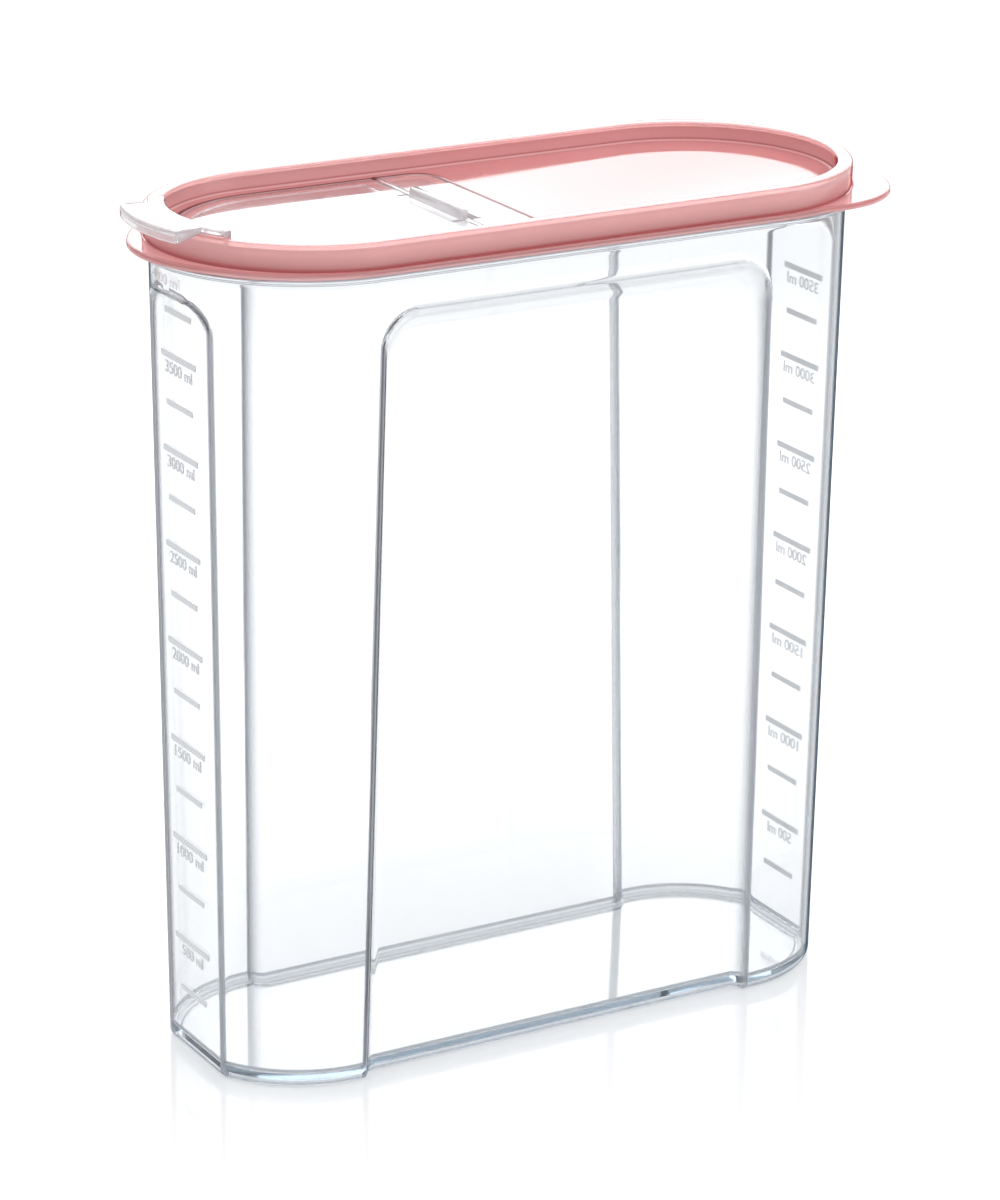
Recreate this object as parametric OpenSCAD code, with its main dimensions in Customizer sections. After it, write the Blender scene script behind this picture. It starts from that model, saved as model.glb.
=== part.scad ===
// Tall cereal container: a clear oblong bin, a lift-off lid with a raised rim, and a clear
// flip cover over the pour opening. Millimetres, +Z up, origin at the centre of the base.
// +X is the end with the lid's pull tab, -X is the end that pours.

/* [Bin] */
// Half the distance between the centres of the bin's round ends at the base
base_end = 71.4; // [64:0.2:90]
// Half the distance between the centres of the bin's round ends under the rim
mouth_end = 67.7; // [64:0.1:90]
// Radius of the round ends at the base
base_r = 40.4; // [36:0.1:43]
// Radius of the round ends under the rim
mouth_r = 46.8; // [45:0.1:47.4]
// Height from the table to the underside of the rim
body_h = 254.8; // [200:0.2:300]
// Wall thickness
wall = 1.6; // [1.2:0.1:2.2]
// Floor thickness
floor_t = 2.4; // [1.6:0.1:4]
// Height of the foot that lifts the floor off the table
foot_h = 1.2; // [0.6:0.1:2]
// Width of the foot, measured in from the outer edge
foot_w = 2.4; // [1.8:0.1:4]

/* [Grip recesses in the long sides] */
// Depth of a grip recess
grip_depth = 3.8; // [1.5:0.1:4.5]
// Half-length of a grip recess at the base
grip_low = 69.0; // [50:0.5:70]
// Half-length of a grip recess at its top
grip_high = 65.8; // [48:0.5:69]
// Distance from the rim's underside down to the top of the recesses and end panels
panel_drop = 12; // [8:0.5:40]
// Corner radius at the top of a grip recess
grip_corner = 11; // [5:0.5:20]

/* [Flat end panels] */
// How far an end panel is set in from the tip of the round end
panel_depth = 4.2; // [3:0.1:6]
// Corner radius at the top of an end panel
panel_corner = 14; // [6:0.5:15]

/* [Rim] */
// How far the rim flange stands out past the bin's mouth at the long sides
rim_out = 3.8; // [2.8:0.1:8]
// How much farther apart than the mouth's the rim's round ends are centred, at each end
rim_shift = 1.3; // [0:0.1:3]
// Thickness of the rim flange
rim_t = 1.9; // [1.2:0.1:3]
// How far the upstand that plugs into the lid stands out past the mouth
neck_out = 0.9; // [0:0.1:1.4]
// How much closer together than the mouth's the upstand's round ends are centred
neck_shift = 0.9; // [0:0.1:1.4]
// Wall of the upstand
neck_t = 1.5; // [1.0:0.1:2]
// Height of the upstand above the flange
neck_h = 7.9; // [5:0.1:12]

/* [Lid] */
// How far the lid flange stands out past the rim flange
flange_over = 0.2; // [0:0.1:2]
// Thickness of the lid flange
flange_t = 1.9; // [1:0.1:2.5]
// Wall thickness of the lid's raised rim
lid_wall = 1.4; // [0.8:0.1:1.8]
// Thickness of the top of the lid's raised rim
lid_roof = 1.5; // [1:0.1:2.5]
// Depth of the deck below the top of the raised rim
deck_drop = 5.9; // [4.5:0.1:6.5]
// Thickness of the ledge that the cover rests on
ledge_t = 1.3; // [1:0.1:2]
// Angle of the pull tab around the end's centre, from +X
tab_angle = -38; // [-60:1:60]
// How far the pull tab stands out past the lid flange
tab_out = 8.6; // [4:0.2:14]
// Radius of the pull tab's outline
tab_r = 32; // [20:0.5:36]
// How far the lip under the thumb tab stands out past the lid flange
lip_out = 2.6; // [1:0.2:5]
// Radius of the lip's outline
lip_r = 38; // [30:0.5:44]

/* [Flip cover] */
// Margin of deck between the raised rim and the cover
deck_margin = 4.4; // [4:0.1:9]
// Thickness of the cover plate and the hinge plate
plate_t = 1.6; // [1.2:0.1:2]
// Width of the ledge under the edge of the plates
ledge_w = 4.4; // [3:0.1:7]
// Distance from the middle of the lid to the hinge axis
hinge_x = 23.2; // [15:0.2:40]
// Distance from the middle of the lid to the back edge of the hinge plate
back_x = 5; // [2:0.2:12]
// Corner radius at the back of the hinge plate
back_corner = 7; // [3:0.5:12]
// Depth of the plug rib under the cover
plug_h = 2.8; // [1.5:0.1:5]
// Wall of the plug rib
plug_t = 1.4; // [1:0.1:2]
// Half-width of the thumb tab
thumb_half = 20; // [12:0.5:26]
// Reach of the thumb tab past the raised rim
thumb_over = 6.6; // [4:0.1:9]
// Thickness of the thumb tab
thumb_t = 1.8; // [1.2:0.1:2.4]
// Height of the thumb tab's down-turned lip
thumb_lip = 3.8; // [2.4:0.1:5]
// Radius of the raised ring on the cover
emboss_r = 20.5; // [10:0.5:26]

/* [Hinge] */
// Radius of the hinge pin
pin_r = 0.9; // [0.7:0.05:1]
// Radius of the cover's hinge barrel
barrel_r = 2.7; // [2.2:0.1:3]
// Half-length of the barrel
barrel_half = 16.6; // [8:0.2:26]
// Depth of the hinge axis below the deck's surface
axis_drop = 0.6; // [0.4:0.05:0.7]
// Length of the slits beside the barrel, from the hinge axis
slit_x = 4.6; // [4:0.1:8]
// Width of the slits
slit_w = 0.9; // [0.5:0.1:1.5]

/* [Clearances] */
// Gap between pieces that lift or swing apart
gap = 0.3; // [0.2:0.05:0.4]
// Radial clearance of the pin in its bores
pin_fit = 0.05; // [0.02:0.01:0.1]

/* [Hidden] */
$fn = 96;

eps = 0.5;                                // overlap that joins or cuts cleanly
skin = 0.02;                              // height of the end faces that a hull joins
far = 2 * (base_end + mouth_r + rim_out); // longer than anything in plan
panel_top = body_h - panel_drop;          // top of the recesses and end panels
floor_top = foot_h + floor_t;
rim_top = body_h + rim_t;                 // the lid sits here
neck_top = rim_top + neck_h;

rim_end = mouth_end + rim_shift;          // centres of the round ends of rim and flange
rim_r = mouth_r + rim_out;
neck_end = mouth_end - neck_shift;        // centres of the round ends of upstand and lid
neck_r = mouth_r + neck_out;
flange_r = rim_r + flange_over;
tab_reach = flange_r + tab_out;
lip_reach = flange_r + lip_out;
ring_ro = neck_r + gap + lid_wall;        // raised rim of the lid, outside
ring_ri = neck_r - neck_t - gap - lid_wall;
flange_top = rim_top + flange_t;
ring_top = neck_top + gap + lid_roof;
deck_z = ring_top - deck_drop;
seat_z = deck_z - plate_t;                // what the plates rest on
ledge_z = seat_z - ledge_t;

cover_r = ring_ri - deck_margin;          // half-width of cover and hinge plate
hole_r = cover_r + gap - ledge_w;         // half-width of the pour opening
hole_back = back_x + ledge_w;             // back edge of the pour opening
axis_z = deck_z - axis_drop;
edge_gap = pin_r + gap;                   // plates stop this far from the axis
pin_half = cover_r + 2.4;                 // half-length of the pin
thumb_r = ring_ro + thumb_over;
thumb_z = ring_top + gap;                 // underside of the thumb tab
thumb_top = thumb_z + thumb_t;
emboss_h = 0.4;
emboss_w = 1.6;
clip_half = 5;                            // half-width of a hinge plate clip
clip_y = 22;                              // place of the clips, from the middle
clip_t = 1.2;                             // thickness of a clip and of its barb

// Radius and centre distance of the bin's round ends at a height
function end_r(z) = base_r + (mouth_r - base_r) * z / body_h;
function end_c(z) = base_end + (mouth_end - base_end) * z / body_h;

// ---- plan shapes ----

// Straight sides with round ends
module stadium2d(half, r) {
    for (side = [-1, 1])
        translate([side * half, 0])
            circle(r = r);
    square([2 * half, 2 * r], center = true);
}

module stadium(half, r, z0, z1) {
    translate([0, 0, z0])
        linear_extrude(z1 - z0)
            stadium2d(half, r);
}

// The part of a stadium on the pouring side of x = -cut_x
module pour_side2d(half, r, cut_x) {
    intersection() {
        stadium2d(half, r);
        translate([-far - cut_x, -far])
            square([far, 2 * far]);
    }
}

// Outline of the recess for the two plates, and of the plates themselves
module cover_plan2d(r, back, corner) {
    pour_side2d(neck_end, r, back + corner);
    translate([-back - corner - eps, -(r - corner)])
        square([corner + eps, 2 * (r - corner)]);
    for (side = [-1, 1])
        translate([-back - corner, side * (r - corner)])
            circle(r = corner);
}

// ---- bin ----

// Round-ended block whose sides lean out with height
module drafted_block(inset, z0, z1) {
    hull()
        for (level = [z0, z1 - skin])
            stadium(end_c(level), end_r(level) - inset, level, level + skin);
}

// Upright panel outline with two round top corners
module panel2d(low, high, top, corner) {
    polygon([[-low, -foot_h], [low, -foot_h], [high, top - corner], [-high, top - corner]]);
    for (side = [-1, 1])
        translate([side * (high - corner), top - corner])
            circle(r = corner);
    translate([-(high - corner), top - corner - eps])
        square([2 * (high - corner), corner + eps]);
}

// Everything past a leaning plane, as an outline of height against distance
module beyond2d(low, high) {
    polygon([[low, -foot_h], [far, -foot_h], [far, body_h], [high, body_h]]);
}

// Space that a grip recess takes from a long side
module grip_cut(grow) {
    intersection() {
        rotate([90, 0, 0])
            linear_extrude(far, center = true)
                panel2d(grip_low + grow, grip_high + grow, panel_top + grow,
                        grip_corner + grow);
        for (side = [0, 1])
            mirror([0, side, 0])
                rotate([90, 0, 90])
                    linear_extrude(far, center = true)
                        beyond2d(end_r(-foot_h) - grip_depth - grow,
                                 end_r(body_h) - grip_depth - grow);
    }
}

// Space that a flat panel takes from each round end
module panel_cut(grow) {
    half = base_r;
    intersection() {
        rotate([90, 0, 90])
            linear_extrude(far, center = true)
                panel2d(half, half, panel_top + grow, panel_corner + grow);
        for (side = [0, 1])
            mirror([side, 0, 0])
                rotate([90, 0, 0])
                    linear_extrude(far, center = true)
                        beyond2d(end_c(-foot_h) + end_r(-foot_h) - panel_depth - grow,
                                 end_c(body_h) + end_r(body_h) - panel_depth - grow);
    }
}

// Solid form of the bin, set in by a distance
module bin_form(inset, z0, z1) {
    difference() {
        drafted_block(inset, z0, z1);
        grip_cut(inset);
        panel_cut(inset);
    }
}

module container() {
    color([0.93, 0.95, 0.97, 0.35])
        difference() {
            union() {
                bin_form(0, 0, body_h);
                stadium(rim_end, rim_r, body_h, rim_top);
                stadium(neck_end, neck_r, rim_top, neck_top);
            }
            bin_form(wall, floor_top, rim_top);
            stadium(neck_end, neck_r - neck_t, rim_top, neck_top + eps);
            bin_form(foot_w, -foot_h, foot_h);
        }
}

// ---- lid ----

module lid_frame() {
    color([0.90, 0.62, 0.62])
        difference() {
            union() {
                // raised rim
                difference() {
                    stadium(neck_end, ring_ro, rim_top, ring_top);
                    stadium(neck_end, ring_ri, rim_top - eps, ring_top + eps);
                }
                // flange with the pull tab and the lip
                translate([0, 0, rim_top])
                    linear_extrude(flange_t)
                        difference() {
                            union() {
                                stadium2d(rim_end, flange_r);
                                translate([rim_end, 0])
                                    rotate(tab_angle)
                                        translate([tab_reach - tab_r, 0])
                                            circle(r = tab_r);
                                translate([-rim_end - lip_reach + lip_r, 0])
                                    circle(r = lip_r);
                            }
                            stadium2d(neck_end, ring_ri + eps);
                        }
                // deck
                stadium(neck_end, ring_ri + eps, seat_z, deck_z);
                // thicker border around the pour opening
                translate([0, 0, ledge_z])
                    linear_extrude(deck_z - ledge_z)
                        pour_side2d(neck_end, ring_ri + eps, 0);
            }
            // channel for the bin's upstand
            difference() {
                stadium(neck_end, neck_r + gap, rim_top - eps, neck_top + gap);
                stadium(neck_end, neck_r - neck_t - gap, rim_top - eps, neck_top + gap);
            }
            // inner wall of the raised rim stays clear of the bin's rim
            stadium(neck_end, neck_r + gap, rim_top - eps, rim_top + gap);
            // seat for the plates
            translate([0, 0, seat_z])
                linear_extrude(plate_t + eps)
                    cover_plan2d(cover_r + gap, back_x, back_corner + gap);
            // pour opening
            translate([0, 0, ledge_z - eps])
                linear_extrude(ledge_t + 2 * eps)
                    cover_plan2d(hole_r, hole_back, back_corner - ledge_w + gap);
            // snap-in bearings for the pin
            translate([-hinge_x, 0, axis_z])
                rotate([90, 0, 0])
                    cylinder(h = 2 * (pin_half + gap), r = pin_r + pin_fit, center = true);
        }
}

// Two slits beside the barrel that let the plates flex
module slits2d() {
    for (side = [-1, 1])
        translate([-hinge_x - slit_x, side * (barrel_half + gap + slit_w / 2) - slit_w / 2])
            square([2 * slit_x, slit_w]);
}

// Section of the thumb tab: over the deck, up the raised rim's inside, across it and down
module thumb2d() {
    foot = cover_r - 4;
    inner = ring_ri - gap;
    shelf = deck_z + gap;
    lip = thumb_r - thumb_t;
    polygon([
        [foot, seat_z + gap], [cover_r, seat_z + gap], [cover_r, shelf], [inner, shelf],
        [inner, thumb_z], [lip, thumb_z], [lip, thumb_top - thumb_lip],
        [thumb_r, thumb_top - thumb_lip], [thumb_r, thumb_top], [inner - thumb_t, thumb_top],
        [inner - thumb_t, shelf + thumb_t], [cover_r - 1, shelf + thumb_t - gap], [foot, deck_z]
    ]);
}

module flip_cover() {
    color([0.95, 0.96, 0.97, 0.5])
        difference() {
            union() {
                translate([0, 0, seat_z + gap])
                    linear_extrude(plate_t - gap)
                        difference() {
                            pour_side2d(neck_end, cover_r, hinge_x + edge_gap);
                            slits2d();
                        }
                // tongue between the slits, joined to the barrel
                translate([-hinge_x - slit_x, -barrel_half, seat_z + gap])
                    cube([slit_x, 2 * barrel_half, plate_t - gap]);
                translate([-hinge_x, 0, axis_z])
                    rotate([90, 0, 0])
                        cylinder(h = 2 * barrel_half, r = barrel_r, center = true);
                // plug rib
                translate([0, 0, seat_z - plug_h])
                    linear_extrude(plug_h + 2 * gap)
                        difference() {
                            pour_side2d(neck_end, hole_r - gap, hinge_x + slit_x + plug_t);
                            pour_side2d(neck_end, hole_r - gap - plug_t,
                                        hinge_x + slit_x + 2 * plug_t);
                        }
                // thumb tab over the raised rim
                intersection() {
                    translate([-neck_end, 0, 0])
                        rotate([0, 0, 90])
                            rotate_extrude(angle = 180)
                                thumb2d();
                    translate([-far, -thumb_half, 0])
                        cube([far, 2 * thumb_half, thumb_top + eps]);
                }
                // raised ring
                translate([-neck_end, 0, deck_z - eps])
                    difference() {
                        cylinder(h = eps + emboss_h, r = emboss_r);
                        translate([0, 0, -eps])
                            cylinder(h = 3 * eps + emboss_h, r = emboss_r - emboss_w);
                    }
            }
            translate([-hinge_x, 0, axis_z])
                rotate([90, 0, 0])
                    cylinder(h = 2 * barrel_half + 2 * eps, r = pin_r + pin_fit, center = true);
        }
}

module hinge_plate() {
    front = hinge_x - edge_gap;
    color([0.95, 0.96, 0.97, 0.5])
        union() {
            translate([0, 0, seat_z])
                linear_extrude(plate_t)
                    difference() {
                        intersection() {
                            cover_plan2d(cover_r, back_x + gap, back_corner);
                            translate([-front, -far])
                                square([far, 2 * far]);
                        }
                        slits2d();
                        translate([-hinge_x, -barrel_half - gap])
                            square([barrel_r + gap, 2 * (barrel_half + gap)]);
                    }
            // clips that hook under the ledge behind the opening
            for (side = [-1, 1])
                translate([-hole_back, side * clip_y, 0])
                    rotate([90, 0, 0])
                        linear_extrude(2 * clip_half, center = true)
                            polygon([
                                [-gap - clip_t, seat_z + gap], [-gap - clip_t, ledge_z - 2 * clip_t],
                                [-gap, ledge_z - 2 * clip_t], [clip_t, ledge_z - clip_t],
                                [clip_t, ledge_z - gap / 2], [-gap, ledge_z - gap / 2],
                                [-gap, seat_z + gap]
                            ]);
        }
}

module hinge_pin() {
    color([0.88, 0.90, 0.92, 0.7])
        translate([-hinge_x, 0, axis_z])
            rotate([90, 0, 0])
                cylinder(h = 2 * pin_half, r = pin_r, center = true);
}

container();
lid_frame();
flip_cover();
hinge_plate();
hinge_pin();
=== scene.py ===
"""Clear cereal container with a tinted lid and a clear flip cover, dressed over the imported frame."""
import math

import bmesh
import bpy
import numpy as np
from mathutils import Matrix, Vector
from mathutils.geometry import tessellate_polygon


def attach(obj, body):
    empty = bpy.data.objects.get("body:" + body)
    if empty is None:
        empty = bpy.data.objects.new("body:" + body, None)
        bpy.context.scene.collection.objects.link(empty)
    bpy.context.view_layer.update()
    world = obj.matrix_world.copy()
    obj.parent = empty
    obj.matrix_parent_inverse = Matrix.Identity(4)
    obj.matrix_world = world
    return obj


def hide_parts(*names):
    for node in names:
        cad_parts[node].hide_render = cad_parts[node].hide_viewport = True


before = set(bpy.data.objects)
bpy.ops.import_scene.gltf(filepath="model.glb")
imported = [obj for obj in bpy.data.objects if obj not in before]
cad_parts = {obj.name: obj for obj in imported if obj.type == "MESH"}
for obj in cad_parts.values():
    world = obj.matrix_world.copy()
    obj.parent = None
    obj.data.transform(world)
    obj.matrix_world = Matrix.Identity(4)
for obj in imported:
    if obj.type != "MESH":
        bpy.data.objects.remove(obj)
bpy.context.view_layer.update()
scene = bpy.context.scene
MM = 0.001

# ------------------------------------------------------------------ camera
# The photograph's view: its size in pixels, bearing, elevation, roll, distance (mm), lens in pixels, and where
# the frame's origin and the middle of the view lie in it.
PHOTO_W, PHOTO_H, SENSOR = 1000, 1200, 36
AZ, EL, ROLL = math.radians(-30.182), math.radians(19.162), math.radians(0.617)
DIST, FOCAL = 1420.607, 4419.17
ORIGIN_PX, CENTRE_PX = (496.872, 987.140), (499.606, 595.729)


def add_camera():
    back = Vector((math.sin(AZ) * math.cos(EL), -math.cos(AZ) * math.cos(EL), math.sin(EL)))
    right = Vector((math.cos(AZ), math.sin(AZ), 0))
    up = back.cross(right)
    c, s = math.cos(ROLL), math.sin(ROLL)
    right, up = right * c + up * s, up * c - right * s
    x0 = (ORIGIN_PX[0] - CENTRE_PX[0]) / FOCAL * DIST
    y0 = -(ORIGIN_PX[1] - CENTRE_PX[1]) / FOCAL * DIST
    cam = bpy.data.cameras.new("camera")
    obj = bpy.data.objects.new("camera", cam)
    scene.collection.objects.link(obj)
    rot = Matrix((right, up, back)).transposed()
    obj.matrix_world = Matrix.Translation((back * DIST - right * x0 - up * y0) * MM) @ rot.to_4x4()
    cam.sensor_width = SENSOR
    cam.lens = FOCAL / PHOTO_H * SENSOR
    cam.shift_x = (PHOTO_W / 2 - CENTRE_PX[0]) / PHOTO_H
    cam.shift_y = (CENTRE_PX[1] - PHOTO_H / 2) / PHOTO_H
    cam.clip_start, cam.clip_end = 0.05, 60
    scene.camera = obj


# ------------------------------------------------------------------ sizes, as the frame has them (mm)
# The plan is a stadium: _C is how far the centres of its round ends lie from the middle, _R their radius.
# bin: plan at the base and at the mouth, height; wall, top of the floor, fillets outside and inside the foot
BASE_C, MOUTH_C, BASE_R, MOUTH_R, BODY_H = 71.4, 67.7, 40.4, 46.8, 254.8
WALL, FLOOR_TOP, FOOT_FILLET, FLOOR_FILLET = 1.6, 3.6, 2.3, 1.8
# grip recesses: half width at the base and at the top, depth, corner; end panels: top, half width, depth, corner
GRIP_LOW, GRIP_HIGH, GRIP_DEPTH, GRIP_R = 69.0, 65.8, 3.8, 11.0
PANEL_TOP, PANEL_HALF, PANEL_DEPTH, PANEL_R = 242.8, 21.5, 4.2, 14.0
# how much larger the recesses and panels are on the inner face
INNER_GROW = 0.7
# rim flange of the bin, and the upstand that plugs into the lid
RIM_C, RIM_R, RIM_TOP = 69.0, 50.6, 256.7
NECK_C, NECK_RO, NECK_RI, NECK_TOP = 66.8, 47.7, 46.2, 264.6
# lid: flange, raised rim, channel for the upstand, lower end of the wall inside it
FLANGE_R, FLANGE_TOP = 50.8, 258.6
RING_RO, RING_RI, RING_TOP = 49.4, 44.5, 266.4
CHANNEL_RO, CHANNEL_RI, CHANNEL_TOP, CHANNEL_LOW = 48.0, 45.9, 264.9, 257.1
# heights of the deck, of the seat for the plates and of the ledge under it
DECK, SEAT, LEDGE = 260.5, 258.9, 257.6
# pull tab at one corner and lip under the thumb tab: bearing, reach and radius
TAB_ANGLE, TAB_REACH, TAB_R = math.radians(-38), 59.4, 32.0
LIP_REACH, LIP_R = 53.4, 38.0
# outlines on the deck: radius, straight back edge from the middle, radius of the back corners
SEAT_R, BACK_X, BACK_R = 40.4, 5.0, 7.3
HOLE_R, HOLE_BACK, HOLE_CORNER = 36.0, 9.4, 2.9
LEDGE_OUTLINE = 41.6, 3.8, 8.5
# flip cover: radius, hinge axis from the middle, half length of the bar, the slits beside it, thumb tab
COVER_R, HINGE_X, BAR_HALF, SLIT_Y, SLIT_HALF, THUMB_R, THUMB_TOP = 40.1, 23.2, 16.6, 17.35, 0.45, 56.0, 268.5
# half angles of the thumb tab's lip and of its tongue (degrees)
LIP_DEG, TONGUE_DEG = 21.6, 31
# graduations: height by volume (ml), lowest short bar, short bar above the last volume, half widths of the bars;
# by side, where the long and the short bars start and end along Y and how far the figures stand off the middle
GRADUATIONS = {500: 37.14, 1000: 70.34, 1500: 102.67, 2000: 134.19, 2500: 164.95, 3000: 195.01, 3500: 224.42}
LOWEST_BAR, HIGHEST_BAR, LONG_HALF, SHORT_HALF = 20.6, 238.2, 0.95, 0.9
LONG_BAR = {1: (-11.9, 9.6), -1: (-10.9, 11.65)}
SHORT_BAR = {1: (-9.6, 7.3), -1: (-8.3, 8.7)}
FIGURE_Y = {1: -1.1, -1: 0.4}


def end_c(z):
    return BASE_C + (MOUTH_C - BASE_C) * z / BODY_H


def end_r(z):
    return BASE_R + (MOUTH_R - BASE_R) * z / BODY_H


def smooth(t):
    t = min(max(t, 0.0), 1.0)
    return t * t * (3 - 2 * t)


def smooth_max(a, b, k):
    h = max(k - abs(a - b), 0) / k
    return max(a, b) + h * h * k / 4


def turned(v, middle):
    """The angle v as measured from the angle middle, between -pi and pi."""
    return (v - middle + math.pi) % (2 * math.pi) - math.pi


# ------------------------------------------------------------------ loops round the plan
CREASE_STATION = math.radians(26)


def stations():
    """(kind, side, value) round the plan: right end from its near corner, far run, left end, near run.
    "end": side +1 or -1 along X and the angle; "run": side +1 or -1 along Y and a place from -1 to 1.
    They lie closer over the end panels, closest beside CREASE_STATION, and over the slopes of the recesses."""
    fine = sorted([*np.arange(-30, 30.01, 1.0), -26.4, -25.6, 25.6, 26.4])
    angles = [-90 + k * 2.5 for k in range(24)] + fine + [32.5 + k * 2.5 for k in range(24)]
    half = [1 - k * 0.36 / 16 / 4.2 for k in range(1, 27)]
    half += [half[-1] - k * 0.0122 for k in range(1, 11)]
    half += [half[-1] * (1 - k / 6) for k in range(1, 7)]
    places = half + [-f for f in reversed(half[:-1])]
    ring = [("end", 1, math.radians(a)) for a in angles]
    ring += [("run", 1, f) for f in places]
    ring += [("end", -1, math.radians(180 + a)) for a in angles]
    ring += [("run", -1, -f) for f in places]
    return ring


RING = stations()


def plan(c, r, z, extra=None, edge=0.0):
    """One loop of a stadium with centres at +-c and radius r. extra gives more radius at a station.
    The fourth number of each point is its mark: how much painted edge shade it gets, from 0 to 1; marks lie along
    moulded edges, creases and steps."""
    loop = []
    for kind, side, v in RING:
        grow = extra((kind, side, v)) if extra else 0.0
        if kind == "end":
            loop.append((side * c + (r + grow) * math.cos(v), (r + grow) * math.sin(v), z, edge))
        else:
            loop.append((c * v, side * (r + grow), z, edge))
    return loop


def rounded_sd(x, z, half, top, radius):
    """Signed distance (inside negative) to an outline with two round top corners, open below."""
    qx, qz = abs(x) - (half - radius), z - (top - radius)
    return math.hypot(max(qx, 0), max(qz, 0)) + min(max(qx, qz), 0) - radius


def steer(v, side, crease):
    """Shifts a station's angle so that CREASE_STATION always lies on the end panel's edge."""
    middle = 0 if side > 0 else math.pi
    a = turned(v, middle)
    size = abs(a)
    if size <= CREASE_STATION:
        new = size * crease / CREASE_STATION
    else:
        new = crease + (size - CREASE_STATION) * (math.pi / 2 - crease) / (math.pi / 2 - CREASE_STATION)
    return middle + math.copysign(new, a)


def body_loop(z, inset=0.0, grow=0.0, at=None, edge=0.0):
    """One loop of the bin's wall, inset from its outer face, with its grip recesses and flat end panels.
    grow widens these for the inner face, and at takes their outline from another height. edge is the least mark of
    every point; the crease and the arch's lip of each end panel and the slope of each recess are marked more, for
    painted edge shade."""
    h = z if at is None else at
    c, r = end_c(h), end_r(h) - inset
    side_edge = GRIP_LOW + (GRIP_HIGH - GRIP_LOW) * h / PANEL_TOP
    flat = c + end_r(h) - PANEL_DEPTH - inset
    crease_angle = math.acos(1 - PANEL_DEPTH / end_r(h))
    bend = 0.35
    # towards its top the recess has a wider, softer slope
    soft = smooth((h - PANEL_TOP + 14) / 11)
    slope = 4.8 + 1.4 * soft
    loop = []
    for kind, side, v in RING:
        edge_shade = edge
        if kind == "end":
            v = steer(v, side, crease_angle)
            x, y = side * c + r * math.cos(v), r * math.sin(v)
            arch_sd = rounded_sd(y, h, PANEL_HALF + grow, PANEL_TOP + 0.7 + grow, PANEL_R + grow)
            arch = smooth((1.3 - arch_sd) / 2.6)
            over = abs(x) - flat
            if over > -bend and arch > 0:
                cut = over if over > bend else (over + bend) ** 2 / (4 * bend)
                x -= math.copysign(cut * arch, x)
            # painted edge shade along the end panel's crease and along the lip of its arch
            crease = smooth((0.52 - abs(over - 0.05)) / 0.3) * arch
            lip = 4 * arch * (1 - arch) * smooth(over / 0.8 + 0.3)
            edge_shade = max(edge_shade, crease, lip)
        else:
            x, y = c * v, side * r
        if abs(y) > r * 0.5:
            sd = rounded_sd(x, h, side_edge + grow, PANEL_TOP + 0.9 + grow, GRIP_R + grow)
            t = min(max((0.3 + 0.5 * soft - sd) / slope, 0.0), 1.0)
            y -= math.copysign(GRIP_DEPTH * ((1 - (1 - t) ** 2) * (1 - 0.6 * soft) + smooth(t) * 0.6 * soft), y)
            # painted edge shade down the slope of the grip recess, fainter towards its softer top
            if 0 < t < 1 or abs(sd - 0.3) < 0.5:
                edge_shade = max(edge_shade, (1 - t) ** 3 * (0.9 - 0.55 * soft))
        loop.append((x, y, z, edge_shade))
    return loop


def unmarked(loop):
    """The loop without marks of painted edge shade, for the border of a flat cap, over which the shade would run in
    streaks.
    """
    return [(x, y, z, 0.0) for x, y, z, edge_shade in loop]


def arc(radius, a0, a1, steps):
    """Points (x, z) of an arc about (0, 0) in a section, angles in degrees."""
    return [(radius * math.cos(math.radians(a0 + (a1 - a0) * k / steps)),
             radius * math.sin(math.radians(a0 + (a1 - a0) * k / steps))) for k in range(steps + 1)]


# ------------------------------------------------------------------ mesh helpers
def new_object(name, verts, faces, body, mats, face_mats=None, angle=35):
    """A piece that rides on a body. Its marks, the amounts of painted edge shade, become the attribute "edge"; large
    caps keep a sharp border.
    """
    mesh = bpy.data.meshes.new(name)
    mesh.from_pydata([(v[0] * MM, v[1] * MM, v[2] * MM) for v in verts], [], faces)
    marks = mesh.attributes.new("edge", "FLOAT", "POINT")
    marks.data.foreach_set("value", [v[3] if len(v) > 3 else 0.0 for v in verts])
    mesh.validate()
    for mat in mats:
        mesh.materials.append(mat)
    if face_mats:
        mesh.polygons.foreach_set("material_index", face_mats)
    mesh.polygons.foreach_set("use_smooth", [True] * len(mesh.polygons))
    mesh.set_sharp_from_angle(angle=math.radians(angle))
    flat_edges = {tuple(sorted(key)) for poly in mesh.polygons if len(poly.vertices) > 8 for key in poly.edge_keys}
    sharp = mesh.attributes.get("sharp_edge") or mesh.attributes.new("sharp_edge", "BOOLEAN", "EDGE")
    for edge in mesh.edges:
        if tuple(sorted(edge.vertices)) in flat_edges:
            sharp.data[edge.index].value = True
    mesh.update()
    obj = bpy.data.objects.new(name, mesh)
    scene.collection.objects.link(obj)
    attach(obj, body)
    return obj


def face_outwards(obj):
    """Makes the faces of a closed mesh look outwards."""
    bm = bmesh.new()
    bm.from_mesh(obj.data)
    bmesh.ops.recalc_face_normals(bm, faces=bm.faces)
    bm.to_mesh(obj.data)
    bm.free()


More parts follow.
